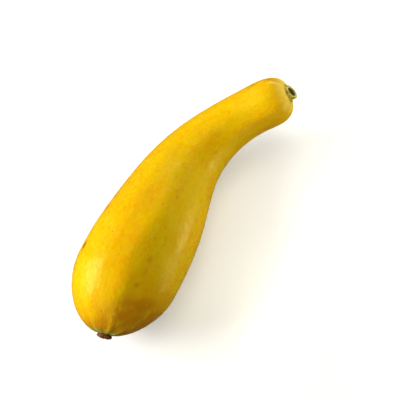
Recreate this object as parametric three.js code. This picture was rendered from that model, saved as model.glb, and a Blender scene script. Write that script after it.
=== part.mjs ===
// A yellow straightneck squash lying on its side: a pear-shaped bulb that
// draws in to a bent neck, with the cut stub of its stalk at the neck's end
// and the corky scar of its flower at the bulb's end.
//
// Millimetres, +Z up. The squash runs along X, blossom end at -X and stem end
// at +X. The origin is on the ground, under the middle of the whole squash.

import * as THREE from 'three';

// ---- driving dimensions, in mm ----------------------------------------

// The centre line is one smooth curve from the first of these points to the
// last, pulled towards the ones between: it rises over the bulb, dips at the
// waist and lifts the neck clear of the ground.
const CENTRE_LINE = [
  [-87, 0, 26],
  [-35, 23, 35.5],
  [-16, 7, 26.5],
  [4, 31, 19.5],
  [38, 41, 14],
  [87, 0, 46.5],
];

// Radii that pull the girth out and in along the centre line, from the
// blossom end to the stem end. The bulb comes out 60 across, the neck 28.
const GIRTH = [28.5, 27.5, 36.5, 28, 13, 11, 16];

// The bulb's greatest radius, which the relief is measured against.
const WIDEST = 30;

// Each end closes over a rounded cap: its depth, and how blunt it is.
const BLOSSOM_CAP = { depth: 36, bluntness: 2 };
const STEM_CAP = { depth: 22, bluntness: 3.1 };

// Relief of the skin: how many waves go round, how high they stand, and how
// far from the end they are at their strongest.
const SHOULDER_LOBES = { count: 5, height: 0.5, peak: 7, phase: 0.6 };
const BLOSSOM_PLEATS = { count: 10, height: 0.15, peak: 1.4, phase: 0.2 };
const FACETS = { count: 10, height: 0.12 };
const WAVER = 0.25;

// The ground spot: the belly is pressed flat at z = 0, with a soft edge.
const GROUND_BLEND = 0.35;

// The stub and the scar sit in shallow round pockets in the fruit.
const GAP = 0.3;
const STEM_POCKET = { radius: 5.1, depth: 1.6 };
const SCAR_POCKET = { radius: 4.1, depth: 1.2 };

// The stub leans up and back from the neck, and is cut on the slant. Headings
// and rises are in degrees.
const STUB = {
  straight: 1.6,
  leaning: 1.7,
  leanHeading: -35,
  leanRise: 34,
  cutHeading: -28,
  cutRise: 42,
  ridges: 5,
};

// The stub's side: how far up it, its radius there, and its ridges' height.
const STUB_SIDE = [
  [0, 4.8, 0],
  [0.25, 4.8, 0],
  [0.45, 4.55, 0.1],
  [0.65, 4.4, 0.2],
  [0.88, 4.45, 0.2],
  [1, 4.1, 0.2],
];

// Across the cut and down its hollow: radius, ridges' height, and depth.
const STUB_CUT = [
  [3.2, 0.1, 0],
  [2.8, 0, 0.4],
  [2, 0, 1.6],
];

// The scar is a low knob: radius and height of its outline above the skin.
const SCAR_OUTLINE = [
  [3.8, 0.3],
  [4.2, 0.6],
  [4.35, 1.0],
  [3.8, 1.75],
  [2.8, 2.3],
  [1.5, 2.5],
];
const SCAR_DIMPLE = 2.3;
const SCAR_LUMPS = 0.12;

// How finely the surfaces are divided.
const FRUIT_SEGMENTS = 60;
const FRUIT_STATIONS = 42;
const SMALL_SEGMENTS = 30;

const FULL_TURN = 2 * Math.PI;
const UP = new THREE.Vector3(0, 0, 1);

// ---- curves -------------------------------------------------------------

// A value on the smooth curve that a list of control values pulls on.
function blend(values, t) {
  let row = values;
  while (row.length > 1) {
    row = row.slice(1).map((value, i) => row[i] * (1 - t) + value * t);
  }
  return row[0];
}

class CentreLine extends THREE.Curve {
  getPoint(t, target = new THREE.Vector3()) {
    const along = CENTRE_LINE.map((point) => point[0]);
    const across = CENTRE_LINE.map((point) => point[1]);
    const height = CENTRE_LINE.map((point) => point[2]);
    return target.set(blend(along, t), blend(across, t), blend(height, t));
  }
}

const centreLine = new CentreLine();
centreLine.arcLengthDivisions = 600;
const LENGTH = centreLine.getLength();

// How far a rounded end cap has opened at this distance from its tip, 0 to 1.
function opening(distance, cap) {
  const left = 1 - Math.min(Math.max(distance / cap.depth, 0), 1);
  return Math.sqrt(1 - left ** cap.bluntness);
}

// Radius of the fruit at a distance along the centre line.
function girthAt(s) {
  const closed = opening(s, BLOSSOM_CAP) * opening(LENGTH - s, STEM_CAP);
  return blend(GIRTH, s / LENGTH) * closed;
}

// Distance from one end at which that end's cap has opened to a radius.
function distanceToRadius(radius, girthFromEnd) {
  let low = 0;
  let high = 10;
  for (let i = 0; i < 40; i += 1) {
    const middle = (low + high) / 2;
    if (girthFromEnd(middle) < radius) {
      low = middle;
    } else {
      high = middle;
    }
  }
  return (low + high) / 2;
}

// A wave's strength at a distance from its end: none at the tip, full at the
// peak, and dying away beyond it.
function swell(distance, peak) {
  const x = distance / peak;
  return x * Math.exp(1 - x);
}

// Height of the skin's relief at a distance along and an angle round.
function reliefAt(s, angle) {
  const fullness = girthAt(s) / WIDEST;
  const lobeWave = Math.cos(SHOULDER_LOBES.count * angle + SHOULDER_LOBES.phase);
  const pleatWave = Math.cos(BLOSSOM_PLEATS.count * angle + BLOSSOM_PLEATS.phase);
  const facetWave = Math.cos(FACETS.count * angle + s / 90);
  const slow = Math.sin(2 * angle + s / 28 + 1) + 0.6 * Math.sin(3 * angle - s / 20);
  return (
    SHOULDER_LOBES.height * lobeWave * swell(LENGTH - s, SHOULDER_LOBES.peak) +
    BLOSSOM_PLEATS.height * pleatWave * swell(s, BLOSSOM_PLEATS.peak) +
    FACETS.height * facetWave * fullness +
    WAVER * slow * fullness
  );
}

// ---- rings and lofts ----------------------------------------------------

// A frame to draw a ring in: its centre, the way it faces, and two axes.
function frameFacing(centre, facing) {
  const along = facing.clone().normalize();
  const side = UP.clone().cross(along).normalize();
  const up = along.clone().cross(side);
  return { centre, along, side, up };
}

function frameAt(s) {
  const u = Math.min(Math.max(s / LENGTH, 0), 1);
  return frameFacing(centreLine.getPointAt(u), centreLine.getTangentAt(u));
}

// The point of a frame at a radius and an angle, moved along by an offset.
function pointIn(frame, radius, angle, offset = 0) {
  return frame.centre
    .clone()
    .addScaledVector(frame.along, offset)
    .addScaledVector(frame.side, radius * Math.cos(angle))
    .addScaledVector(frame.up, radius * Math.sin(angle));
}

// A ring of points; radius and offset are numbers or functions of the angle.
function ringIn(frame, segments, radius, offset = 0) {
  const valueOf = (value, angle) => (typeof value === 'function' ? value(angle) : value);
  return Array.from({ length: segments }, (_, i) => {
    const angle = (FULL_TURN * i) / segments;
    return pointIn(frame, valueOf(radius, angle), angle, valueOf(offset, angle));
  });
}

// One closed surface through a list of rings. The first and last entries are
// single points that close the two ends.
function loft(rings) {
  const positions = [];
  const starts = [];
  for (const ring of rings) {
    starts.push(positions.length / 3);
    ring.forEach((point) => positions.push(point.x, point.y, point.z));
  }
  const indices = [];
  for (let k = 0; k + 1 < rings.length; k += 1) {
    const here = rings[k].length;
    const next = rings[k + 1].length;
    const count = Math.max(here, next);
    for (let i = 0; i < count; i += 1) {
      const j = (i + 1) % count;
      const a = starts[k] + (i % here);
      const b = starts[k] + (j % here);
      const c = starts[k + 1] + (i % next);
      const d = starts[k + 1] + (j % next);
      if (here > 1) indices.push(a, b, d);
      if (next > 1) indices.push(a, d, c);
    }
  }
  const geometry = new THREE.BufferGeometry();
  geometry.setAttribute('position', new THREE.Float32BufferAttribute(positions, 3));
  geometry.setIndex(indices);
  geometry.computeVertexNormals();
  return geometry;
}

// ---- the fruit ------------------------------------------------------------

// A ring of the skin, lifted by its relief along the skin's own normal.
function skinRing(s) {
  const step = 0.05;
  const frame = frameAt(s);
  const radius = girthAt(s);
  const before = girthAt(Math.max(s - step, 0));
  const after = girthAt(Math.min(s + step, LENGTH));
  const slope = (after - before) / (2 * step);
  const steepness = Math.hypot(1, slope);
  return ringIn(
    frame,
    FRUIT_SEGMENTS,
    (angle) => radius + reliefAt(s, angle) / steepness,
    (angle) => (-reliefAt(s, angle) * slope) / steepness,
  );
}

// Press the belly flat on the ground, rounding the edge of the flat spot.
function pressFlat(point) {
  if (point.z < -GROUND_BLEND) {
    point.z = 0;
  } else if (point.z < GROUND_BLEND) {
    point.z = (point.z + GROUND_BLEND) ** 2 / (4 * GROUND_BLEND);
  }
}

function makeFruit(blossomRim, stemRim) {
  const first = blossomRim;
  const last = LENGTH - stemRim;
  const scarFloor = frameAt(first + SCAR_POCKET.depth);
  const stemFloor = frameAt(last - STEM_POCKET.depth);

  const rings = [[scarFloor.centre], ringIn(scarFloor, FRUIT_SEGMENTS, SCAR_POCKET.radius)];
  for (let k = 0; k <= FRUIT_STATIONS; k += 1) {
    const share = (1 - Math.cos((Math.PI * k) / FRUIT_STATIONS)) / 2;
    rings.push(skinRing(first + (last - first) * share));
  }
  rings.push(ringIn(stemFloor, FRUIT_SEGMENTS, STEM_POCKET.radius), [stemFloor.centre]);

  rings.flat().forEach(pressFlat);
  return loft(rings);
}

// ---- the stem stub ------------------------------------------------------

// A direction from its compass heading in the XY plane and its rise, degrees.
function direction(heading, rise) {
  const flat = THREE.MathUtils.degToRad(heading);
  const lift = THREE.MathUtils.degToRad(rise);
  return new THREE.Vector3(
    Math.cos(lift) * Math.cos(flat),
    Math.cos(lift) * Math.sin(flat),
    Math.sin(lift),
  );
}

// The stub's outline round its axis: soft ridges on a round stalk.
function ridged(radius, ridge) {
  return (angle) => radius + ridge * Math.cos(STUB.ridges * angle + SHOULDER_LOBES.phase);
}

function makeStemStub(stemRim) {
  const seat = frameAt(LENGTH - stemRim - STEM_POCKET.depth + GAP);
  const bend = seat.centre.clone().addScaledVector(seat.along, STUB.straight);
  const lean = direction(STUB.leanHeading, STUB.leanRise);
  const tip = bend.clone().addScaledVector(lean, STUB.leaning);
  const cut = direction(STUB.cutHeading, STUB.cutRise);
  const axis = new THREE.QuadraticBezierCurve3(seat.centre, bend, tip);

  const frameUp = (t) => {
    const facing = seat.along.clone().lerp(cut, t * t);
    return frameFacing(axis.getPoint(t), facing);
  };
  const top = frameUp(1);
  const deepest = STUB_CUT[STUB_CUT.length - 1][2];

  return loft([
    [seat.centre],
    ...STUB_SIDE.map(([t, radius, ridge]) =>
      ringIn(frameUp(t), SMALL_SEGMENTS, ridged(radius, ridge)),
    ),
    ...STUB_CUT.map(([radius, ridge, depth]) =>
      ringIn(top, SMALL_SEGMENTS, ridged(radius, ridge), -depth),
    ),
    [pointIn(top, 0, 0, -deepest)],
  ]);
}

// ---- the blossom scar -----------------------------------------------------

// The knob's lumpiness round its edge, from -1 to 1.
function lump(angle) {
  return 0.6 * Math.sin(3 * angle + 0.8) + 0.4 * Math.sin(7 * angle + 2);
}

function makeBlossomScar(blossomRim) {
  const inward = frameAt(blossomRim);
  const skin = frameFacing(inward.centre, inward.along.clone().negate());
  const floor = GAP - SCAR_POCKET.depth;
  const neck = SCAR_OUTLINE[0][0];

  const knob = SCAR_OUTLINE.slice(1).map(([radius, height]) =>
    ringIn(
      skin,
      SMALL_SEGMENTS,
      (angle) => radius + SCAR_LUMPS * lump(angle) * Math.min(height, 1),
      (angle) => height + SCAR_LUMPS * lump(angle + 1) * Math.min(height, 1),
    ),
  );
  return loft([
    [pointIn(skin, 0, 0, floor)],
    ringIn(skin, SMALL_SEGMENTS, neck, floor),
    ringIn(skin, SMALL_SEGMENTS, neck, SCAR_OUTLINE[0][1]),
    ...knob,
    [pointIn(skin, 0, 0, SCAR_DIMPLE)],
  ]);
}

// ---- the squash -------------------------------------------------------------

function pieceOf(name, geometry, color, roughness) {
  const material = new THREE.MeshStandardMaterial({ color, roughness, metalness: 0 });
  const mesh = new THREE.Mesh(geometry, material);
  mesh.name = name;
  return mesh;
}

function makeSquash() {
  const blossomRim = distanceToRadius(SCAR_POCKET.radius, girthAt);
  const stemRim = distanceToRadius(STEM_POCKET.radius, (d) => girthAt(LENGTH - d));

  const squash = new THREE.Group();
  squash.add(pieceOf('fruit', makeFruit(blossomRim, stemRim), 0xf2b90f, 0.4));
  squash.add(pieceOf('stem_stub', makeStemStub(stemRim), 0xc9c765, 0.7));
  squash.add(pieceOf('blossom_scar', makeBlossomScar(blossomRim), 0x6b421c, 0.85));

  const box = new THREE.Box3().setFromObject(squash);
  const middle = box.getCenter(new THREE.Vector3());
  squash.position.set(-middle.x, -middle.y, -box.min.z);
  squash.updateMatrixWorld(true);
  return squash;
}

export default makeSquash();
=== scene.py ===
"""A yellow straightneck squash lying on its side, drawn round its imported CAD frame.

Shapes are worked out in millimetres along the squash's centre line, then moved
into the frame's box and scaled to metres. +Z is up, blossom end at -X. A place
on the skin is a distance along the fruit from the blossom end, and an angle
round it.
"""

import math

import bpy
import numpy as np
from mathutils import Matrix, Vector


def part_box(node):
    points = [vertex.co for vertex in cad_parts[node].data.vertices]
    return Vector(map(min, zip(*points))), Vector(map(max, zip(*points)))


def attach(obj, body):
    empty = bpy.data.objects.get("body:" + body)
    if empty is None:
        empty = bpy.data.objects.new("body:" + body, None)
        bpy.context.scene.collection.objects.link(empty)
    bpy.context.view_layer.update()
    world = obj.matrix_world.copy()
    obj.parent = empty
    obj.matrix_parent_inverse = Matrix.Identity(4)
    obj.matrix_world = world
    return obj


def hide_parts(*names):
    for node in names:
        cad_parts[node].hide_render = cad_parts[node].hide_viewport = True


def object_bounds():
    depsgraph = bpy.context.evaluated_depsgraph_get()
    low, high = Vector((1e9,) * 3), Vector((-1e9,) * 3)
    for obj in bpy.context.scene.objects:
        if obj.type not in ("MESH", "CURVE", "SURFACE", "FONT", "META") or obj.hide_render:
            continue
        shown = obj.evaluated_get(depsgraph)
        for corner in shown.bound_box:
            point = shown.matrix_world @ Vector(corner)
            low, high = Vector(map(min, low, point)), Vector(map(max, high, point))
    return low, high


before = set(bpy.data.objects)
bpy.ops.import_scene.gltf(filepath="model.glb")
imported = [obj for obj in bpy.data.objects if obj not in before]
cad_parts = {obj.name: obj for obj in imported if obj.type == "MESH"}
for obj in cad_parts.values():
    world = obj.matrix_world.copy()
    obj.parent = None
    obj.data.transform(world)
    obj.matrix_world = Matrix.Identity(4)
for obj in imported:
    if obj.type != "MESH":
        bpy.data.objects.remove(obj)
cad_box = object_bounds()

MM = 0.001
FULL_TURN = 2 * math.pi

# ---- the fruit's shape, in mm, as the CAD solid has it ------------------------

# The control points that pull on the centre line, from blossom end to stem end.
CENTRE_LINE = (
    (-87, 0, 26),
    (-35, 23, 35.5),
    (-16, 7, 26.5),
    (4, 31, 19.5),
    (38, 41, 14),
    (87, 0, 46.5),
)
# The control values that pull on its radius, and how each rounded end closes it:
# over what depth, and how bluntly.
GIRTH = (28.5, 27.5, 36.5, 28, 13, 11, 16)
BLOSSOM_CAP = (36, 2)
STEM_CAP = (22, 3.1)
# The bulb's radius, which the relief's height grows with.
WIDEST = 30
# How softly the edge of the flat spot is rounded.
GROUND_BLEND = 0.35

# Relief: lobes by the stem, pleats by the scar, and facets and a slow waver all
# over. How many there are round the fruit, and how high.
LOBES = {"count": 5, "height": 0.5, "peak": 7, "phase": 0.6}
PLEATS = {"count": 10, "height": 0.15, "peak": 1.4, "phase": 0.2}
FACETS = {"count": 10, "height": 0.12, "twist": 90}
WAVER = 0.25

# The pockets that the stub and the scar sit in, and the gap round those.
STEM_POCKET = {"radius": 5.1, "depth": 1.6}
SCAR_POCKET = {"radius": 4.1, "depth": 1.2}
GAP = 0.3

# ---- the camera, in degrees and metres, its lens in mm ---------------------------

VIEW_AZIMUTH = -52.76
VIEW_ELEVATION = 70.0
VIEW_DISTANCE = 0.6443
AIM_OFFSET = Vector((0.0076, -0.0082, -0.0040))
LENS = 100.0
SENSOR = 36.0


# ---- curves -----------------------------------------------------------------------


def blend(values, t):
    """The smooth curve that a list of control values pulls on, at t from 0 to 1."""
    row = [np.asarray(value, float) for value in values]
    t = np.asarray(t, float)
    if row[0].ndim:
        t = t[..., None]
    while len(row) > 1:
        row = [a * (1 - t) + b * t for a, b in zip(row, row[1:])]
    return row[0]


def ramp(value, start, end):
    """0 up to start, 1 from end on, and straight between them."""
    return np.clip((value - start) / (end - start), 0, 1)


def bell(away, width, power=2):
    """1 in the middle, falling smoothly to 0 some way past a width."""
    return np.exp(-((away / width) ** power))


def angle_between(a, b):
    """The shorter turn from b to a, from minus half a turn to half a turn."""
    return (a - b + math.pi) % FULL_TURN - math.pi


def unit(v):
    """Vectors of length 1 that point the same way."""
    return v / np.linalg.norm(v, axis=-1, keepdims=True)


def axes_facing(centre, facing):
    """A centre with three axes: the way it faces, one level, one upright."""
    along = unit(np.asarray(facing, float))
    side = unit(np.cross((0.0, 0.0, 1.0), along))
    return np.asarray(centre, float), along, side, np.cross(along, side)


class CentreLine:
    """The fruit's centre line, walked by distance from the blossom end."""

    def __init__(self):
        self.points = [np.array(p, float) for p in CENTRE_LINE]
        self.slopes = [b - a for a, b in zip(self.points, self.points[1:])]
        self.t = np.linspace(0, 1, 2001)
        steps = np.linalg.norm(np.diff(blend(self.points, self.t), axis=0), axis=1)
        self.distance = np.concatenate([[0], np.cumsum(steps)])
        self.length = self.distance[-1]

    def axes(self, s):
        """Centre, along, side and up at each distance, as arrays of vectors."""
        t = np.interp(s, self.distance, self.t)
        return axes_facing(blend(self.points, t), blend(self.slopes, t))


LINE = CentreLine()


def opening(distance, cap):
    """How far a rounded end has opened at a distance from its tip, 0 to 1."""
    depth, bluntness = cap
    left = 1 - np.clip(distance / depth, 0, 1)
    return np.sqrt(1 - left**bluntness)


def girth_at(s):
    """The fruit's radius at a distance, without its relief."""
    closed = opening(s, BLOSSOM_CAP) * opening(LINE.length - s, STEM_CAP)
    return blend(GIRTH, s / LINE.length) * closed


def distance_to_radius(radius, from_stem):
    """Distance from an end at which its cap has opened to a radius."""
    tries = np.linspace(0, 10, 20001)
    s = LINE.length - tries if from_stem else tries
    return float(np.interp(radius, girth_at(s), tries))


def swell(distance, peak):
    """Rises from 0 to 1 at the peak's distance, then dies away."""
    x = distance / peak
    return x * np.exp(1 - x)


def relief_at(s, angle):
    """Height of the skin's broad relief, as the CAD solid has it."""
    fullness = girth_at(s) / WIDEST
    lobe = np.cos(LOBES["count"] * angle + LOBES["phase"])
    pleat = np.cos(PLEATS["count"] * angle + PLEATS["phase"])
    facet = np.cos(FACETS["count"] * angle + s / FACETS["twist"])
    slow = np.sin(2 * angle + s / 28 + 1) + 0.6 * np.sin(3 * angle - s / 20)
    return (
        LOBES["height"] * lobe * swell(LINE.length - s, LOBES["peak"])
        + PLEATS["height"] * pleat * swell(s, PLEATS["peak"])
        + FACETS["height"] * facet * fullness
        + WAVER * slow * fullness
    )


# ---- meshes -----------------------------------------------------------------------


def turns(segments):
    """The angles of the points round a ring."""
    return np.arange(segments) * (FULL_TURN / segments)


def ring_points(axes, radius, angle, offset=0.0):
    """Points round a centre, at a radius and moved along by an offset."""
    centre, along, side, up = axes
    radius = np.asarray(radius, float) + np.zeros_like(angle)
    offset = np.asarray(offset, float) + np.zeros_like(angle)
    return (
        centre[..., None, :]
        + along[..., None, :] * offset[..., None]
        + side[..., None, :] * (radius * np.cos(angle))[..., None]
        + up[..., None, :] * (radius * np.sin(angle))[..., None]
    )


def loft_faces(ring_count, segments):
    """Quads between rings, and fans to the first and last point."""
    first = 1 + np.arange(ring_count - 1)[:, None] * segments
    i = np.arange(segments)[None, :]
    j = (i + 1) % segments
    corners = [first + i, first + j, first + segments + j, first + segments + i]
    faces = np.stack(corners, -1).reshape(-1, 4).tolist()
    last_ring = 1 + (ring_count - 1) * segments
    tip = last_ring + segments
    for a, b in zip(i[0].tolist(), j[0].tolist()):
        faces.append([0, 1 + b, 1 + a])
        faces.append([last_ring + a, last_ring + b, tip])
    return faces


def every_point(ring_values, shape):
    """A value for each ring, or each point of it, spread over a loft's points."""
    spread = np.broadcast_to(ring_values, shape).reshape(-1)
    return np.concatenate([spread[:1], spread, spread[-1:]])


def mesh_piece(name, points, faces, shift, values):
    """A smooth mesh piece from points in mm, with named per-point values."""
    mesh = bpy.data.meshes.new(name)
    mesh.from_pydata(((points + shift) * MM).tolist(), [], faces)
    mesh.validate()
    mesh.shade_smooth()
    for key, value in values.items():
        kind = "FLOAT_VECTOR" if value.ndim == 2 else "FLOAT"
        field = "vector" if value.ndim == 2 else "value"
        layer = mesh.attributes.new(key, kind, "POINT")
        layer.data.foreach_set(field, value.astype(np.float32).ravel())
    piece = bpy.data.objects.new(name, mesh)
    bpy.context.scene.collection.objects.link(piece)
    return piece


def smooth_rows(rows, count):
    """Rows of numbers, filled in by a smooth curve through every row."""
    rows = np.array(rows, float)
    before = 2 * rows[:1] - rows[1:2]
    after = 2 * rows[-1:] - rows[-2:-1]
    padded = np.concatenate([before, rows, after])
    at = np.linspace(0, len(rows) - 1 - 1e-9, count)
    k = at.astype(int)
    f = (at - k)[:, None]
    a, b, c, d = (padded[k + i] for i in range(4))
    straight = 2 * b + (c - a) * f
    bent = (2 * a - 5 * b + 4 * c - d) * f**2 + (3 * b - a - 3 * c + d) * f**3
    return 0.5 * (straight + bent)


GRIT_WAVES = 14
GRIT_SPREAD = (0.6, 1.6)
GRIT_SUM = 5.0


def grit(points, size, seed):
    """A rough unevenness, mostly from -1 to 1, with lumps of a size in mm."""
    rng = np.random.default_rng(seed)
    total = np.zeros(points.shape[:-1])
    for _ in range(GRIT_WAVES):
        way = unit(rng.normal(size=3)) * (FULL_TURN / size) * rng.uniform(*GRIT_SPREAD)
        total += np.sin(points @ way + rng.uniform(0, FULL_TURN))
    return total / GRIT_SUM


# ---- the fruit --------------------------------------------------------------------

FRUIT_SEGMENTS = 256
FRUIT_STATIONS = 350
SLOPE_STEP = 0.05
# Stations up to here belong to the scar's end, and the rest to the stem's.
SCAR_END = 30
# The value of the distance from an end, inside the pocket at that end.
IN_POCKET = -1.0
# The radius of the tube that the skin is unrolled on for its patterns.
UNROLLED = 20
# How far up from the ground the pale ground spot fades.
BELLY_FADE = 1.2

FURROWS = {"count": 20, "depth": 0.10, "reach": 7.0, "sharpness": 3}
VEINS = {"count": 10, "height": 0.07, "width": 0.045}
# Soft lengthwise ridges, each with a warmer band on one side: angle, height.
RIDGES = ((97, 0.70), (162, 0.25), (214, 0.40), (272, 0.25), (330, 0.40), (30, 0.12))
RIDGE_WIDTH = 6.0
# The skin's rounded lip round each pocket.
LIPS = {"width": 0.5, "stem_drop": 0.45, "scar_drop": 0.27}
# Shallow dents and swells: how far they keep from the ends, their size, height.
DENTS = {"count": 46, "seed": 11, "clear": (12, 14), "size": (2.5, 8.0), "height": (-0.10, 0.07)}

# Brown marks on the skin: distance along, angle round in degrees, length
# along the fruit, width across it, and how strong the mark is. One that is
# stronger than 1 is a dark scab.
MARKS = (
    (36, 117, 2.4, 0.9, 0.6),
    (28, 115, 1.2, 1.2, 0.9),
    (42, 115, 1.6, 1.2, 0.8),
    (18, 112, 3.0, 1.8, 0.6),
    # These two, broad and soft by the blossom end, are partly brown blotches and partly painted
    # shade on the bulb's shaded lower side.
    (17, 120, 3.0, 4.0, 0.4),
    (8, 124, 3.0, 2.5, 0.35),
    (52, 108, 1.0, 0.8, 0.5),
    (70, 86, 1.6, 1.0, 0.35),
    (104, 97, 1.0, 0.7, 0.5),
    (81, 24, 1.4, 0.9, 0.6),
    (38, 30, 2.6, 1.2, 2.2),
    (60, 31, 2.2, 1.5, 0.6),
    (92, 250, 2.2, 1.2, 0.6),
    (55, 205, 1.4, 1.8, 0.5),
    (24, 230, 4.0, 2.0, 0.4),
    (140, 190, 1.5, 0.9, 0.5),
    (150, 75, 1.2, 0.7, 0.3),
)
# A faint, broken brown line: where it starts and ends, as distance and angle.
SCRATCH = {"start": (36, 116), "end": (58, 123), "width": 0.60, "strength": 0.42}

# Where the blossom end is blushed brown, partly real and partly painted shade: distance along,
# angle, length, width.
BLUSHES_AND_SHADE = (
    (4, 150, 18, 24),
    (9, 180, 12, 18),
    (16, 133, 9, 9),
    (8, 260, 10, 12),
)
BLUSH_AND_SHADE_STRENGTH = 0.85
TIP_BLUSH = {"reach": 14, "strength": 0.35}

# Warmer skin: one flank from a distance on, one rubbed spot, and the bands
# beside the ridges. Angles in degrees, widths in radians unless called mm.
WARM_FLANK = {"angle": 8, "width": 0.5, "starts": 40, "full": 65, "share": 1.3}
WARM_SPOT = {"at": 70, "angle": 24, "length": 15, "width_mm": 9, "share": 1.1}
WARM_BANDS = {"beside": -17, "width": 0.25, "share": 0.55}

# Lemon skin: the shaded flank between two distances, with soft ends, and
# two spots: distance along, angle, length, width in radians, share.
LEMON_FLANK = {"angle": 125, "width": 0.42, "from": (22, 36), "to": (125, 95), "share": 0.65}
LEMON_SPOTS = (
    (168, 99, 14, 0.28, 1.4),
    (22, 50, 16, 0.5, 0.9),
)


def vein_lines(s, angle):
    """1 along each of the thin veins that run the length of the fruit, else 0."""
    spacing = FULL_TURN / VEINS["count"]
    wander = 0.06 * np.sin(s / 23 + 1) + 0.025 * np.sin(s / 9)
    across = (angle + wander) / spacing
    return bell((across - np.round(across)) * spacing, VEINS["width"])


def furrows_at(s, angle, girth, wander):
    """How deep the skin is in the fine furrows that run up to the scar, 0 to 1."""
    furrow = 0.5 - 0.5 * np.cos(FURROWS["count"] * (angle + wander * 0.3))
    near_scar = bell(girth - SCAR_POCKET["radius"], FURROWS["reach"]) * (s < SCAR_END)
    return furrow ** FURROWS["sharpness"] * near_scar


def ridges_at(angle, girth, wander):
    """Height of the soft lengthwise ridges."""
    total = np.zeros(np.broadcast(girth, angle).shape)
    for turn, height in RIDGES:
        away = girth * angle_between(angle + wander, math.radians(turn))
        total += height * bell(away, RIDGE_WIDTH)
    return total


def dents_at(s, angle, girth):
    """Height of the shallow dents and swells scattered over the skin."""
    total = np.zeros(np.broadcast(s, angle).shape)
    rng = np.random.default_rng(DENTS["seed"])
    clear_of_scar, clear_of_stem = DENTS["clear"]
    for _ in range(DENTS["count"]):
        at = rng.uniform(clear_of_scar, LINE.length - clear_of_stem)
        turn = rng.uniform(0, FULL_TURN)
        size = rng.uniform(*DENTS["size"])
        height = rng.uniform(*DENTS["height"])
        away = np.hypot(s - at, girth * angle_between(angle, turn))
        total += height * bell(away, size)
    return total


def fine_relief(s, angle, girth):
    """Relief too fine for the CAD solid: furrows by the scar, veins and dents."""
    wander = 0.05 * np.sin(s / 17) + 0.03 * np.sin(s / 7 + 1)
    fullness = np.minimum(girth / WIDEST, 1)
    broad = ridges_at(angle, girth, wander) + dents_at(s, angle, girth)
    return (
        -FURROWS["depth"] * furrows_at(s, angle, girth, wander)
        + VEINS["height"] * vein_lines(s, angle) * fullness
        + broad * fullness**2
    )


def skin_rings(first, last):
    """Points of the skin, station by station, and where each one lies."""
    share = (1 - np.cos(np.linspace(0, math.pi, FRUIT_STATIONS + 1))) / 2
    s = first + (last - first) * share
    ahead = girth_at(np.minimum(s + SLOPE_STEP, LINE.length))
    behind = girth_at(np.maximum(s - SLOPE_STEP, 0))
    slope = ((ahead - behind) / (2 * SLOPE_STEP))[:, None]
    steepness = np.hypot(1, slope)
    girth = girth_at(s)[:, None]
    angle = np.broadcast_to(turns(FRUIT_SEGMENTS), (len(s), FRUIT_SEGMENTS))
    height = relief_at(s[:, None], angle) + fine_relief(s[:, None], angle, girth)

    by_scar = (s < SCAR_END)[:, None]
    by_stem = (s > SCAR_END)[:, None]
    scar_lip = np.exp(-(girth - girth[0]) / LIPS["width"]) * by_scar
    stem_lip = np.exp(-(girth - girth[-1]) / LIPS["width"]) * by_stem
    drop = LIPS["scar_drop"] * scar_lip - LIPS["stem_drop"] * stem_lip
    radius = girth + height / steepness
    offset = -height * slope / steepness + drop
    points = ring_points(LINE.axes(s), radius, angle, offset)

    climb = np.hypot(np.diff(s), np.diff(girth[:, 0]))
    from_scar = np.concatenate([[0], np.cumsum(climb)])
    return s, angle, points, from_scar


def press_flat(points):
    """Press the belly flat on the ground, rounding the flat spot's edge."""
    z = points[..., 2]
    edge = (z + GROUND_BLEND) ** 2 / (4 * GROUND_BLEND)
    flat = np.where(z < -GROUND_BLEND, 0.0, np.where(z < GROUND_BLEND, edge, z))
    points[..., 2] = flat
    return points


def spot(s, angle, at, turn, length, width):
    """An oval spot on the skin, 1 in its middle: its place, length and width in mm."""
    across = girth_at(s) * angle_between(angle, math.radians(turn))
    return bell(s - at, length) * bell(across, width)


def warmth_at(s, angle):
    """How orange the skin is: warm bands beside the ridges, and one warm flank."""
    wander = 0.05 * np.sin(s / 8) + 0.03 * np.sin(s / 3.1 + 4 * angle)
    flank, rubbed = WARM_FLANK, WARM_SPOT
    away = angle_between(angle, math.radians(flank["angle"]))
    total = flank["share"] * bell(away, flank["width"]) * ramp(s, flank["starts"], flank["full"])
    place = (rubbed["at"], rubbed["angle"], rubbed["length"], rubbed["width_mm"])
    total += rubbed["share"] * spot(s, angle, *place)
    for turn, height in RIDGES:
        away = angle_between(angle + wander, math.radians(turn + WARM_BANDS["beside"]))
        share = WARM_BANDS["share"] * height / RIDGES[0][1]
        total += share * bell(away, WARM_BANDS["width"], 4)
    return total


def lemon_at(s, angle):
    """How lemon the skin is: the shaded flank, and two softer spots."""
    flank = LEMON_FLANK
    away = angle_between(angle, math.radians(flank["angle"]))
    total = flank["share"] * bell(away, flank["width"], 4)
    total = total * ramp(s, *flank["from"]) * ramp(s, *flank["to"])
    for at, turn, length, width, share in LEMON_SPOTS:
        away = angle_between(angle, math.radians(turn))
        total += share * bell(s - at, length) * bell(away, width)
    return np.clip(total, 0, 1)


def marks_at(s, angle):
    """How strong the brown marks and the scratch are, 0 off them all."""
    total = np.zeros(angle.shape)
    for *place, strength in MARKS:
        total += strength * spot(s, angle, *place)
    (start, start_turn), (end, end_turn) = SCRATCH["start"], SCRATCH["end"]
    share = ramp(s, start, end)
    line = np.radians(start_turn + (end_turn - start_turn) * share)
    across = girth_at(s) * angle_between(angle, line)
    fade = np.sin(math.pi * share)
    broken = 0.6 + 0.4 * np.sin(s * 1.9) * np.sin(s * 0.7)
    total += SCRATCH["strength"] * fade * broken * bell(across, SCRATCH["width"])
    return np.clip(total, 0, 2)


def blush_and_shade_at(s, angle):
    """How brown the blossom end is blushed, partly as painted shade, 0 to 1."""
    total = TIP_BLUSH["strength"] * bell(s, TIP_BLUSH["reach"]) + np.zeros(angle.shape)
    for place in BLUSHES_AND_SHADE:
        total += BLUSH_AND_SHADE_STRENGTH * spot(s, angle, *place)
    return np.clip(total, 0, 1)


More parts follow.
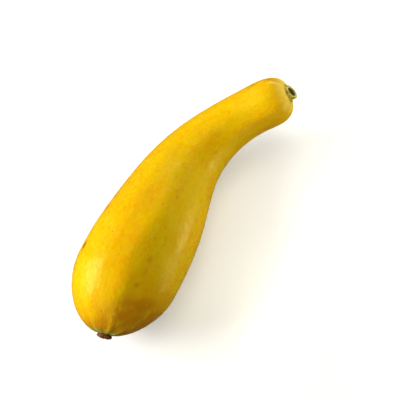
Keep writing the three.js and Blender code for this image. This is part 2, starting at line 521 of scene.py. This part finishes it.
def make_fruit(blossom_rim, stem_rim):
    """The skin from pocket to pocket, with both pockets' floors."""
    first, last = blossom_rim, LINE.length - stem_rim
    s, angle, points, from_scar = skin_rings(first, last)
    scar_floor = LINE.axes(np.array([first + SCAR_POCKET["depth"] + GAP]))
    stem_floor = LINE.axes(np.array([last - STEM_POCKET["depth"] - GAP]))
    around = turns(FRUIT_SEGMENTS)
    scar_ring = ring_points(scar_floor, SCAR_POCKET["radius"], around)
    stem_ring = ring_points(stem_floor, STEM_POCKET["radius"], around)
    rings = press_flat(np.concatenate([scar_ring, points, stem_ring]))

    def whole(ring_values):
        rows = np.concatenate([ring_values[:1], ring_values, ring_values[-1:]])
        return every_point(rows, rings.shape[:2])

    stations = s[:, None] + np.zeros_like(angle)
    rolled = (UNROLLED * np.cos(angle), UNROLLED * np.sin(angle), stations)
    values = {
        "unrolled": np.stack([whole(part) for part in rolled], -1),
        "from_scar": whole(from_scar[:, None]),
        "from_stem": whole(from_scar[-1] - from_scar[:, None]),
        "bars": whole(np.cos(FURROWS["count"] * angle + 1.3 * np.sin(3 * angle))),
        "vein": whole(vein_lines(stations, angle)),
        "mark": whole(marks_at(stations, angle)),
        "blush_and_shade": whole(blush_and_shade_at(stations, angle)),
        "warm": whole(warmth_at(stations, angle)),
        "lemon": whole(lemon_at(stations, angle)),
    }
    values["from_scar"][: 1 + FRUIT_SEGMENTS] = IN_POCKET
    values["from_stem"][-1 - FRUIT_SEGMENTS :] = IN_POCKET
    flat = np.concatenate([scar_floor[0], rings.reshape(-1, 3), stem_floor[0]])
    values["belly"] = np.exp(-flat[:, 2] / BELLY_FADE)
    return flat, loft_faces(rings.shape[0], FRUIT_SEGMENTS), values


# ---- the stem stub ----------------------------------------------------------------

STUB_SEGMENTS = 120
STUB_RINGS = 90
# How far the stub runs straight and leaning, which way it leans and which way
# its cut faces, as heading and rise in degrees, and its ridges and fibres.
STUB = {
    "straight": 1.6,
    "leaning": 1.7,
    "lean": (-35, 34),
    "cut": (-28, 42),
    "ridges": 5,
    "fibres": 41,
    "fibre_share": 0.12,
}
# Up the side, over the rim and down the hollow pith: how far up the stub,
# its radius, how strong its ridges are, and how far past the cut.
STUB_ROWS = (
    (0.00, 4.95, 0.00, 0.00),
    (0.15, 5.00, 0.00, 0.00),
    (0.30, 4.98, 0.03, 0.00),
    (0.42, 4.70, 0.10, 0.00),
    (0.55, 4.42, 0.18, 0.00),
    (0.75, 4.35, 0.22, 0.00),
    (0.92, 4.45, 0.22, 0.00),
    (1.00, 4.35, 0.20, 0.02),
    (1.00, 4.00, 0.18, 0.12),
    (1.00, 3.60, 0.14, 0.06),
    (1.00, 3.20, 0.10, -0.08),
    (1.00, 2.90, 0.08, -0.45),
    (1.00, 2.60, 0.06, -0.95),
    (1.00, 2.10, 0.04, -1.45),
    (1.00, 1.10, 0.00, -1.65),
)
# Grit on the sides and the cut: its height, the size of its lumps, its seed.
STUB_GRIT = ((0.10, 1.7, 3), (0.05, 0.8, 4))


def direction(heading, rise):
    """The way of a heading and a rise, in degrees."""
    flat, lift = math.radians(heading), math.radians(rise)
    level = math.cos(lift)
    return np.array([level * math.cos(flat), level * math.sin(flat), math.sin(lift)])


def all_grit(points, rows):
    """Several sizes of grit together."""
    return sum(height * grit(points, size, seed) for height, size, seed in rows)


def make_stub(stem_rim):
    """The cut stalk, from its seat in the pocket to its hollow pith."""
    seat = LINE.length - stem_rim - STEM_POCKET["depth"] + GAP
    centre, along, _, _ = LINE.axes(np.array([seat]))
    start = centre[0]
    bend = start + along[0] * STUB["straight"]
    tip = bend + direction(*STUB["lean"]) * STUB["leaning"]
    cut = direction(*STUB["cut"])

    rows = smooth_rows(STUB_ROWS, STUB_RINGS)
    up_stub = np.clip(rows[:, 0], 0, 1)
    centres = blend([start, bend, tip], up_stub)
    facing = along[0] + (cut - along[0]) * (up_stub**2)[:, None]
    angle = np.broadcast_to(turns(STUB_SEGMENTS), (len(rows), STUB_SEGMENTS))
    ridge = np.cos(STUB["ridges"] * angle + LOBES["phase"])
    fibre = np.cos(STUB["fibres"] * angle + 2 * np.sin(3 * angle))
    radius = rows[:, 1:2] + rows[:, 2:3] * (ridge + STUB["fibre_share"] * fibre)
    axes = axes_facing(centres, facing)
    points = ring_points(axes, radius, angle, rows[:, 3:4])
    above = ramp(up_stub, 0.3, 0.6)[:, None]
    rough = all_grit(points, STUB_GRIT) * above
    points = points + axes[1][:, None, :] * rough[..., None]
    flat = np.concatenate([start[None], points.reshape(-1, 3), points[-1].mean(0)[None]])

    past_middle = ramp(np.linspace(0, 1, len(rows)), 0.5, 1.0)
    hollow = ramp(-rows[:, 3], 0, 0.6)
    values = {
        "up_stub": every_point(up_stub[:, None], angle.shape),
        "on_cut": every_point(past_middle[:, None], angle.shape),
        "hollow": every_point(hollow[:, None], angle.shape),
        "ridge": every_point(ridge, angle.shape),
    }
    return flat, loft_faces(len(rows), STUB_SEGMENTS), values


# ---- the blossom scar -------------------------------------------------------------

SCAR_SEGMENTS = 120
SCAR_RINGS = 70
# The knob's outline: its radius, and its height above the skin.
SCAR_ROWS = (
    (3.95, -0.95),
    (4.00, -0.20),
    (4.00, 0.25),
    (4.18, 0.60),
    (4.32, 1.00),
    (4.20, 1.40),
    (3.85, 1.78),
    (3.25, 2.10),
    (2.50, 2.32),
    (1.70, 2.42),
    (0.95, 2.32),
    (0.40, 2.20),
)
# Its crust of grit: height, size of lumps, seed.
SCAR_GRIT = ((0.10, 1.6, 5), (0.07, 0.7, 6))


def make_scar(blossom_rim):
    """The corky knob, seated in the pocket at the blossom end."""
    centre, along, _, _ = LINE.axes(np.array([blossom_rim]))
    axes = axes_facing(centre, -along)
    rows = smooth_rows(SCAR_ROWS, SCAR_RINGS)
    angle = np.broadcast_to(turns(SCAR_SEGMENTS), (len(rows), SCAR_SEGMENTS))
    lump = 0.6 * np.sin(3 * angle + 0.8) + 0.4 * np.sin(7 * angle + 2)
    above = np.clip(rows[:, 1:2], 0, 1)
    petal = np.abs(np.sin(2.5 * angle + 0.7))
    radius = rows[:, 0:1] + above * (0.10 * lump + 0.06 * petal)
    height = rows[:, 1:2] + above * 0.12 * np.sin(3 * angle + 1.8)
    stacked = tuple(np.repeat(part, len(rows), axis=0) for part in axes)
    points = ring_points(stacked, radius, angle, height)
    crust = all_grit(points, SCAR_GRIT)
    points = points + axes[1][0] * (crust * above)[..., None]
    base = axes[0][0] + axes[1][0] * SCAR_ROWS[0][1]
    flat = np.concatenate([base[None], points.reshape(-1, 3), points[-1].mean(0)[None]])
    values = {"crust": every_point(crust, angle.shape)}
    return flat, loft_faces(len(rows), SCAR_SEGMENTS), values


# ---- materials --------------------------------------------------------------------

# A colour Mix node's sockets, which share their names with those of its other kinds.
MIX_FACTOR, MIX_UNDER, MIX_OVER, MIX_RESULT = 0, 6, 7, 2


class Paint:
    """A material's nodes, with short names for the ones it needs."""

    def __init__(self, name):
        self.material = bpy.data.materials.new(name)
        self.material.use_nodes = True
        self.tree = self.material.node_tree
        self.surface = self.tree.nodes["Principled BSDF"]

    def node(self, kind, inputs=(), **settings):
        made = self.tree.nodes.new(kind)
        for key, value in settings.items():
            setattr(made, key, value)
        for key, value in dict(inputs).items():
            self.put(made.inputs[key], value)
        return made

    def put(self, socket, value):
        """Link a socket to another one, or set it to a number or a colour."""
        if isinstance(value, bpy.types.NodeSocket):
            self.tree.links.new(value, socket)
        elif isinstance(value, tuple) and socket.type == "RGBA":
            socket.default_value = (*value, 1.0)
        else:
            socket.default_value = value

    def value(self, name):
        return self.node("ShaderNodeAttribute", attribute_name=name).outputs["Fac"]

    def unrolled(self):
        """Where a point is on the unrolled skin, in mm."""
        return self.node("ShaderNodeAttribute", attribute_name="unrolled").outputs["Vector"]

    def place(self):
        """Where a point is on the squash, in mm."""
        at = self.node("ShaderNodeTexCoord").outputs["Object"]
        return self.stretch(at, (1 / MM, 1 / MM, 1 / MM))

    def stretch(self, vector, by):
        node = self.node("ShaderNodeVectorMath", {0: vector, 1: by}, operation="MULTIPLY")
        return node.outputs["Vector"]

    def drawn_out(self, vector, by):
        """The unrolled skin, drawn out lengthwise when by is less than 1."""
        return self.stretch(vector, (1.0, 1.0, by))

    def noise(self, vector, size, detail=2.0, rough=0.5):
        """Soft noise from 0 to 1, with patches of about a size in mm."""
        inputs = {"Vector": vector, "Scale": 1.0 / size, "Detail": detail, "Roughness": rough}
        return self.node("ShaderNodeTexNoise", inputs).outputs["Fac"]

    def dots(self, vector, pitch):
        """Distance to the nearest of a scatter of dots, in pitches."""
        inputs = {"Vector": vector, "Scale": 1.0 / pitch, "Randomness": 1.0}
        return self.node("ShaderNodeTexVoronoi", inputs).outputs["Distance"]

    def band(self, value, none, full):
        """0 at one value and past it, 1 at the other and past it, smooth between."""
        rising = none < full
        inputs = {
            "Value": value,
            "From Min": min(none, full),
            "From Max": max(none, full),
            "To Min": 0.0 if rising else 1.0,
            "To Max": 1.0 if rising else 0.0,
        }
        node = self.node("ShaderNodeMapRange", inputs, interpolation_type="SMOOTHSTEP")
        return node.outputs["Result"]

    def maths(self, operation, a, b):
        node = self.node("ShaderNodeMath", {0: a, 1: b}, operation=operation)
        return node.outputs["Value"]

    def plus(self, a, b):
        return self.maths("ADD", a, b)

    def times(self, a, b):
        return self.maths("MULTIPLY", a, b)

    def mix(self, factor, under, over):
        node = self.node("ShaderNodeMix", data_type="RGBA")
        self.put(node.inputs[MIX_FACTOR], factor)
        self.put(node.inputs[MIX_UNDER], under)
        self.put(node.inputs[MIX_OVER], over)
        return node.outputs[MIX_RESULT]

    def wash(self, colour, where, share, over):
        """A share of one colour over another, where a value says so."""
        return self.mix(self.times(where, share), colour, over)

    def bump(self, height, distance, normal=None):
        """A normal roughened by a height of 0 to 1, which stands for a distance in mm."""
        inputs = {"Height": height, "Distance": distance * MM, "Strength": 1.0}
        if normal is not None:
            inputs["Normal"] = normal
        return self.node("ShaderNodeBump", inputs).outputs["Normal"]

    def finish(self, **inputs):
        """The material, with the surface's inputs put in place."""
        for key, value in inputs.items():
            self.put(self.surface.inputs[key.replace("_", " ")], value)
        return self.material


GOLD = (0.70, 0.40, 0.0005)
LEMON = (0.69, 0.47, 0.001)
ORANGE = (0.72, 0.345, 0.0005)
DEEP_ORANGE = (0.70, 0.290, 0.0005)
NECK_GOLD = (0.72, 0.39, 0.0005)
# Pale for real flecks, and for paler waxy patches in the painted sheen round the stub.
PALE_FLECK_AND_SHEEN = (0.77, 0.60, 0.09)
SCUFF = (0.46, 0.150, 0.006)
SCAB = (0.075, 0.030, 0.004)
# Brown for the blossom end's blotches and for the painted shade on the bulb's lower side.
BLUSH_AND_SHADE = (0.58, 0.240, 0.003)
RUST = (0.48, 0.19, 0.008)
FRESH_GREEN = (0.26, 0.31, 0.015)
PALE_GREEN = (0.56, 0.56, 0.13)
CREAM = (0.74, 0.55, 0.12)
# The painted sheen's butter yellow, on the skin round the stub.
SHEEN_YELLOW = (0.78, 0.60, 0.08)
# Painted shade for the creases round both pockets.
CREASE_SHADE = (0.14, 0.065, 0.005)

STALK = (0.44, 0.37, 0.02)
PALE_STALK = (0.60, 0.50, 0.05)
# Painted shade for the dips between the stub's ridges.
STALK_GROOVE_SHADE = (0.13, 0.08, 0.008)
STALK_FOOT = (0.52, 0.34, 0.01)
CUT_PALE = (0.80, 0.76, 0.36)
CUT_GREEN = (0.60, 0.62, 0.16)
CUT_THREADS = (0.33, 0.36, 0.05)
# Nearly black in the stub's hollow: dark pith and painted shade.
DARK_PITH_AND_SHADE = (0.035, 0.030, 0.006)
PITH_AND_SHADE = (0.085, 0.080, 0.010)

CORK_DARK = (0.060, 0.018, 0.005)
CORK = (0.26, 0.085, 0.016)
CORK_PALE = (0.36, 0.16, 0.04)
# Painted shade where the scar's crust dips.
CORK_PIT_SHADE = (0.020, 0.009, 0.004)

# Layers of colour in patches: the colour, its share, the patches' size in mm,
# how they are drawn out lengthwise (below 1), the detail and roughness of their
# edges, and the values of the noise at which a patch starts and is full.
BROAD_LEMON = (LEMON, 1.0, 26.0, 1.0, 2.0, 0.5, 0.36, 0.60)
ORANGE_PATCHES = (ORANGE, 0.55, 9.0, 0.35, 3.0, 0.5, 0.50, 0.72)
ORANGE_STREAKS = (ORANGE, 0.50, 1.6, 0.045, 3.0, 0.5, 0.50, 0.68)
LEMON_MOTTLE = (LEMON, 0.60, 2.6, 1.0, 3.0, 0.6, 0.48, 0.66)
ORANGE_BLOTCHES = (DEEP_ORANGE, 0.50, 4.2, 0.6, 3.0, 0.6, 0.54, 0.70)
ORANGE_SPECKLE = (ORANGE, 0.45, 1.1, 0.6, 2.0, 0.6, 0.50, 0.64)
LEMON_SPECKLE = (LEMON, 0.45, 1.1, 0.6, 2.0, 0.6, 0.46, 0.34)
ORANGE_STROKES = (DEEP_ORANGE, 0.60, 2.0, 0.45, 2.0, 0.5, 0.61, 0.71)

# Where along the skin a colour starts and is full, in mm from the stem's pocket.
WARM_REACH = (60.0, 120.0)
NECK_REACH = (75.0, 12.0)
# The painted sheen round the stub, from the stem's pocket.
SHOULDER_SHEEN_REACH = (11.0, 2.0)
# Painted shade in the crease at the stem's pocket.
STEM_CREASE_SHADE = (0.5, 0.05)
# The same, from the scar's pocket.
RAY_REACH = (15.0, 2.0)
FRINGE_REACH = (9.0, 3.6)
RIB_REACH = (7.0, 3.2)
# Painted shade in the crease at the scar's pocket.
SCAR_CREASE_SHADE = (0.45, 0.05)
# How raggedly those colours end, in mm.
RAGGED = 2.4


def layer_noise(paint, unrolled, layer):
    """The soft noise that a layer's patches are cut from."""
    _, _, size, drawn, detail, rough, _, _ = layer
    return paint.noise(paint.drawn_out(unrolled, drawn), size, detail, rough)


def add_layer(paint, colour, unrolled, layer):
    """A colour with a layer of patches over it."""
    over, share, *_, start, full = layer
    where = paint.band(layer_noise(paint, unrolled, layer), start, full)
    return paint.wash(colour, where, share, over)


def skin_colour(paint, unrolled):
    """Mottled golden yellow, warmer on the neck, in streaks, patches and flecks."""
    from_stem = paint.value("from_stem")
    colour = add_layer(paint, GOLD, unrolled, BROAD_LEMON)
    warm = paint.times(paint.value("warm"), paint.band(from_stem, *WARM_REACH))
    colour = paint.wash(colour, warm, 0.6, ORANGE)
    colour = add_layer(paint, colour, unrolled, ORANGE_PATCHES)
    neck = paint.band(from_stem, *NECK_REACH)
    colour = paint.wash(colour, neck, 0.7, NECK_GOLD)
    for layer in (ORANGE_STREAKS, LEMON_MOTTLE, ORANGE_BLOTCHES):
        colour = add_layer(paint, colour, unrolled, layer)
    colour = paint.wash(colour, paint.value("lemon"), 0.75, LEMON)
    for layer in (ORANGE_SPECKLE, LEMON_SPECKLE, ORANGE_STROKES):
        colour = add_layer(paint, colour, unrolled, layer)
    flecks = paint.band(paint.noise(unrolled, 1.5), 0.56, 0.72)
    flecked = paint.band(paint.noise(unrolled, 8.0, 1.0), 0.42, 0.62)
    return paint.wash(colour, paint.times(flecks, flecked), 0.30, PALE_FLECK_AND_SHEEN)


def skin_marks(paint, colour, unrolled):
    """The brown blossom end, partly painted shade, the pale ground spot, faint veins, marks,
    scab and specks.
    """
    grain = paint.noise(unrolled, 1.1, 3.0, 0.7)
    blotchy = paint.band(paint.noise(unrolled, 4.5, 3.0), 0.25, 0.60)
    # Brown by the blossom end: partly real blotches, partly painted shade on the bulb's shaded
    # lower side.
    colour = paint.mix(paint.times(paint.value("blush_and_shade"), blotchy), colour, BLUSH_AND_SHADE)
    belly = paint.times(paint.value("belly"), paint.band(grain, 0.30, 0.62))
    colour = paint.wash(colour, belly, 0.6, CREAM)
    veined = paint.band(paint.noise(unrolled, 24.0, 1.0), 0.52, 0.66)
    vein = paint.times(paint.times(paint.value("vein"), veined), paint.band(grain, 0.35, 0.6))
    colour = paint.wash(colour, vein, 0.35, RUST)
    mark = paint.value("mark")
    rough_mark = paint.times(mark, paint.band(grain, 0.22, 0.50))
    colour = paint.wash(colour, rough_mark, 0.75, SCUFF)
    colour = paint.wash(colour, paint.band(mark, 1.0, 1.6), 0.9, SCAB)
    specks = paint.band(paint.dots(unrolled, 7.5), 0.085, 0.03)
    return paint.wash(colour, specks, 0.65, SCUFF)


def skin_ends(paint, colour, unrolled):
    """Green rays round the scar, a painted sheen by the stub, and painted shade in the creases.
    """
    from_scar = paint.value("from_scar")
    from_stem = paint.value("from_stem")
    bars = paint.value("bars")
    ragged = paint.times(paint.noise(unrolled, 1.8), RAGGED)
    ragged_scar = paint.plus(from_scar, ragged)
    rays = paint.times(paint.band(bars, -0.2, -0.95), paint.band(ragged_scar, *RAY_REACH))
    colour = paint.wash(colour, rays, 0.35, RUST)
    colour = paint.wash(colour, paint.band(ragged_scar, *FRINGE_REACH), 0.85, FRESH_GREEN)
    ribs = paint.times(paint.band(bars, 0.2, 0.8), paint.band(from_scar, *RIB_REACH))
    colour = paint.wash(colour, ribs, 0.9, PALE_GREEN)
    # Painted sheen: a pale butter band on the skin round the stub, with paler waxy patches in
    # it.
    shoulder_sheen = paint.band(paint.plus(from_stem, ragged), *SHOULDER_SHEEN_REACH)
    colour = paint.wash(colour, shoulder_sheen, 0.7, SHEEN_YELLOW)
    waxy = paint.band(paint.noise(unrolled, 3.0), 0.45, 0.62)
    colour = paint.wash(colour, paint.times(shoulder_sheen, waxy), 0.7, PALE_FLECK_AND_SHEEN)
    # Painted shade, nearly black, in the creases where the skin meets the stub and the scar.
    for distance, reach in ((from_stem, STEM_CREASE_SHADE), (from_scar, SCAR_CREASE_SHADE)):
        colour = paint.wash(colour, paint.band(distance, *reach), 0.8, CREASE_SHADE)
    return colour


def skin_normal(paint, unrolled):
    """Broad hollows, swells, pores, mottle and grit, laid over each other."""
    hollows = paint.noise(paint.drawn_out(unrolled, 0.8), 15.0, 1.0)
    mottle = layer_noise(paint, unrolled, LEMON_MOTTLE)
    heights = (
        (hollows, 1.3),
        (paint.noise(unrolled, 3.4), 0.12),
        (paint.dots(unrolled, 1.5), 0.10),
        (mottle, 0.12),
        (paint.noise(unrolled, 0.8), 0.06),
    )
    normal = None
    for height, distance in heights:
        normal = paint.bump(height, distance, normal)
    return normal


def skin_material():
    """Waxy skin, which shines less in some patches than in others."""
    paint = Paint("squash skin")
    unrolled = paint.unrolled()
    colour = skin_colour(paint, unrolled)
    colour = skin_marks(paint, colour, unrolled)
    colour = skin_ends(paint, colour, unrolled)
    waxy = paint.band(paint.noise(paint.drawn_out(unrolled, 0.7), 3.6, 3.0), 0.40, 0.62)
    return paint.finish(
        Base_Color=colour,
        Roughness=paint.plus(0.24, paint.times(waxy, 0.24)),
        Normal=skin_normal(paint, unrolled),
        Subsurface_Weight=0.08,
        Subsurface_Radius=(1.0, 0.45, 0.05),
        Subsurface_Scale=0.003,
        Specular_IOR_Level=0.20,
        Specular_Tint=(1.0, 0.91, 0.22),
        Coat_Weight=0.04,
        Coat_Roughness=0.22,
    )


def stem_material():
    """A yellow-green stalk with painted shade between its ridges, a pale fibrous cut, and its
    hollow painted nearly black, partly dark pith and partly painted shade.
    """
    paint = Paint("cut stalk")
    place = paint.place()
    grain = paint.noise(place, 0.9, 3.0, 0.6)
    side = paint.mix(paint.band(grain, 0.35, 0.65), STALK, PALE_STALK)
    # Painted shade in the dips between the stub's ridges.
    groove_shade = paint.band(paint.value("ridge"), -0.1, -0.8)
    side = paint.wash(side, groove_shade, 0.5, STALK_GROOVE_SHADE)
    foot = paint.band(paint.value("up_stub"), 0.62, 0.35)
    side = paint.wash(side, foot, 0.7, STALK_FOOT)
    rim = paint.mix(paint.band(grain, 0.35, 0.70), CUT_PALE, CUT_GREEN)
    threads = paint.band(paint.dots(place, 0.8), 0.30, 0.12)
    rim = paint.wash(rim, threads, 0.45, CUT_THREADS)
    colour = paint.mix(paint.value("on_cut"), side, rim)
    # The hollow at the tip, nearly black: partly dark pith, partly painted shade in the hole.
    pith = paint.mix(paint.band(grain, 0.30, 0.70), DARK_PITH_AND_SHADE, PITH_AND_SHADE)
    colour = paint.mix(paint.value("hollow"), colour, pith)
    return paint.finish(
        Base_Color=colour,
        Roughness=0.62,
        Normal=paint.bump(grain, 0.12),
        Specular_IOR_Level=0.3,
    )


def scar_material():
    """Dry brown cork, paler in places, and painted nearly black as shade where its crust dips.
    """
    paint = Paint("corky scar")
    place = paint.place()
    grain = paint.noise(place, 0.9, 4.0, 0.65)
    coarse = paint.noise(place, 2.2)
    colour = paint.mix(paint.band(grain, 0.30, 0.68), CORK_DARK, CORK)
    colour = paint.wash(colour, paint.band(coarse, 0.52, 0.70), 0.5, CORK_PALE)
    # Painted shade: nearly black where the crust dips lowest.
    pit_shade = paint.band(paint.value("crust"), -0.02, -0.16)
    colour = paint.wash(colour, pit_shade, 0.8, CORK_PIT_SHADE)
    return paint.finish(
        Base_Color=colour,
        Roughness=0.8,
        Normal=paint.bump(grain, 0.25),
        Specular_IOR_Level=0.25,
    )


# ---- the squash -------------------------------------------------------------------


def make_squash():
    """All three pieces, shifted together so that the fruit fills its CAD box."""
    blossom_rim = distance_to_radius(SCAR_POCKET["radius"], from_stem=False)
    stem_rim = distance_to_radius(STEM_POCKET["radius"], from_stem=True)
    made = {
        "fruit": (make_fruit(blossom_rim, stem_rim), skin_material(), "skin"),
        "stem_stub": (make_stub(stem_rim), stem_material(), "stem"),
        "blossom_scar": (make_scar(blossom_rim), scar_material(), "scar"),
    }
    low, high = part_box("fruit")
    points = made["fruit"][0][0]
    shift = np.array((low + high) / 2) / MM - (points.min(0) + points.max(0)) / 2
    shift[2] = 0.0
    for node, ((points, faces, values), material, slot) in made.items():
        piece = mesh_piece(f"{node}_skin", points, faces, shift, values)
        piece.data.materials.append(material)
        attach(piece, "root")
        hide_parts(node)


# ---- the studio -------------------------------------------------------------------

WHITE = (1.0, 1.0, 1.0)
FLOOR_WHITE = (0.92, 0.92, 0.92)
FLOOR_REACH = 6.0
# The floor's glow: near the squash, how much more far off, and between where, in mm.
FLOOR_GLOW = {"near": 0.22, "more": 0.75, "from": 180.0, "to": 700.0}
FILL_COLOUR = (1.0, 0.96, 0.90)
FILL_STRENGTH = 0.07

# Soft boxes aimed at the squash: how far right, up and back from it they stand
# as the camera sees it, in metres, their strength, size in metres and colour.
SHINY_LIGHTS = (
    ("key", (-0.81, 0.15, 0.37), 1.64, 0.62, (1.0, 0.98, 0.95)),
    ("side", (0.28, 0.01, 0.03), 0.30, 0.11, (1.0, 1.0, 0.74)),
    ("low_side", (0.08, -0.05, 0.06), 0.18, 0.05, (1.0, 1.0, 0.80)),
    ("top", (0.15, 0.90, -0.12), 0.24, 0.30, WHITE),
    ("neck_top", (0.095, 0.127, 0.025), 0.08, 0.05, WHITE),
)
WARM_WHITE = (1.0, 0.96, 0.85)
# Weaker ones that light the skin without showing in its gloss.
MATT_LIGHTS = (
    ("front_high", (0.1, 0.6, 1.0), 0.20, 0.60, WARM_WHITE),
    ("front_low", (-0.5, -0.6, 0.6), 0.13, 0.40, WARM_WHITE),
    ("crest", (-0.07, -0.12, 0.12), 0.05, 0.08, WARM_WHITE),
    ("neck", (0.05, 0.11, 0.12), 0.09, 0.08, WARM_WHITE),
    ("bounce", (0.18, -0.02, 0.03), 0.22, 0.09, WARM_WHITE),
    ("bounce_high", (0.24, 0.12, 0.04), 0.06, 0.09, WARM_WHITE),
)


def view_axes():
    """The camera's right and up, and the way back to it from the squash."""
    a, e = math.radians(VIEW_AZIMUTH), math.radians(VIEW_ELEVATION)
    right = Vector((math.cos(a), math.sin(a), 0))
    back = Vector((math.sin(a) * math.cos(e), -math.cos(a) * math.cos(e), math.sin(e)))
    return right, back.cross(right), back


def soft_light(name, place, strength, size, colour):
    """A square soft box whose light falls on the squash as strongly from any distance."""
    right, up, back = view_axes()
    way = right * place[0] + up * place[1] + back * place[2]
    light = bpy.data.lights.new(name, "AREA")
    light.shape = "SQUARE"
    light.size = size
    light.energy = strength * (math.pi * way.length) ** 2
    light.color = colour
    box = bpy.data.objects.new(name, light)
    box.location = way
    box.rotation_mode = "QUATERNION"
    box.rotation_quaternion = way.to_track_quat("Z", "Y")
    box.visible_camera = False
    bpy.context.scene.collection.objects.link(box)
    return box


def make_floor():
    """A pale floor that takes shadows, and fades to white away from the squash."""
    mesh = bpy.data.meshes.new("floor")
    edge = FLOOR_REACH
    corners = [(-edge, -edge, 0), (edge, -edge, 0), (edge, edge, 0), (-edge, edge, 0)]
    mesh.from_pydata(corners, [], [(0, 1, 2, 3)])
    floor = bpy.data.objects.new("floor", mesh)
    bpy.context.scene.collection.objects.link(floor)
    paint = Paint("pale floor")
    length = paint.node("ShaderNodeVectorMath", {0: paint.place()}, operation="LENGTH")
    far = paint.band(length.outputs["Value"], FLOOR_GLOW["from"], FLOOR_GLOW["to"])
    material = paint.finish(
        Base_Color=FLOOR_WHITE,
        Roughness=0.9,
        Emission_Color=FLOOR_WHITE,
        Emission_Strength=paint.plus(FLOOR_GLOW["near"], paint.times(far, FLOOR_GLOW["more"])),
    )
    mesh.materials.append(material)
    floor.visible_diffuse = False
    floor.visible_glossy = False


def make_world():
    """White to the camera, and a dim warm fill for the squash."""
    world = bpy.data.worlds.new("studio")
    bpy.context.scene.world = world
    world.use_nodes = True
    nodes, links = world.node_tree.nodes, world.node_tree.links
    fill = nodes["Background"]
    fill.inputs["Color"].default_value = (*FILL_COLOUR, 1.0)
    fill.inputs["Strength"].default_value = FILL_STRENGTH
    white = nodes.new("ShaderNodeBackground")
    white.inputs["Color"].default_value = (*WHITE, 1.0)
    white.inputs["Strength"].default_value = 1.0
    path = nodes.new("ShaderNodeLightPath")
    either = nodes.new("ShaderNodeMixShader")
    links.new(path.outputs["Is Camera Ray"], either.inputs["Fac"])
    links.new(fill.outputs["Background"], either.inputs[1])
    links.new(white.outputs["Background"], either.inputs[2])
    links.new(either.outputs["Shader"], nodes["World Output"].inputs["Surface"])


def make_camera(low, high):
    """A long lens that looks down on the squash."""
    right, up, back = view_axes()
    data = bpy.data.cameras.new("camera")
    data.lens = LENS
    data.sensor_width = SENSOR
    data.clip_start = 0.01
    data.clip_end = 50.0
    camera = bpy.data.objects.new("camera", data)
    bpy.context.scene.collection.objects.link(camera)
    camera.location = (low + high) / 2 + AIM_OFFSET + back * VIEW_DISTANCE
    camera.rotation_mode = "QUATERNION"
    camera.rotation_quaternion = Matrix((right, up, back)).transposed().to_quaternion()
    bpy.context.scene.camera = camera


def make_studio(low, high):
    make_camera(low, high)
    make_world()
    make_floor()
    for row in SHINY_LIGHTS:
        soft_light(*row)
    for row in MATT_LIGHTS:
        soft_light(*row).visible_glossy = False
    bpy.context.scene.view_settings.view_transform = "Standard"


make_studio(*cad_box)
make_squash()
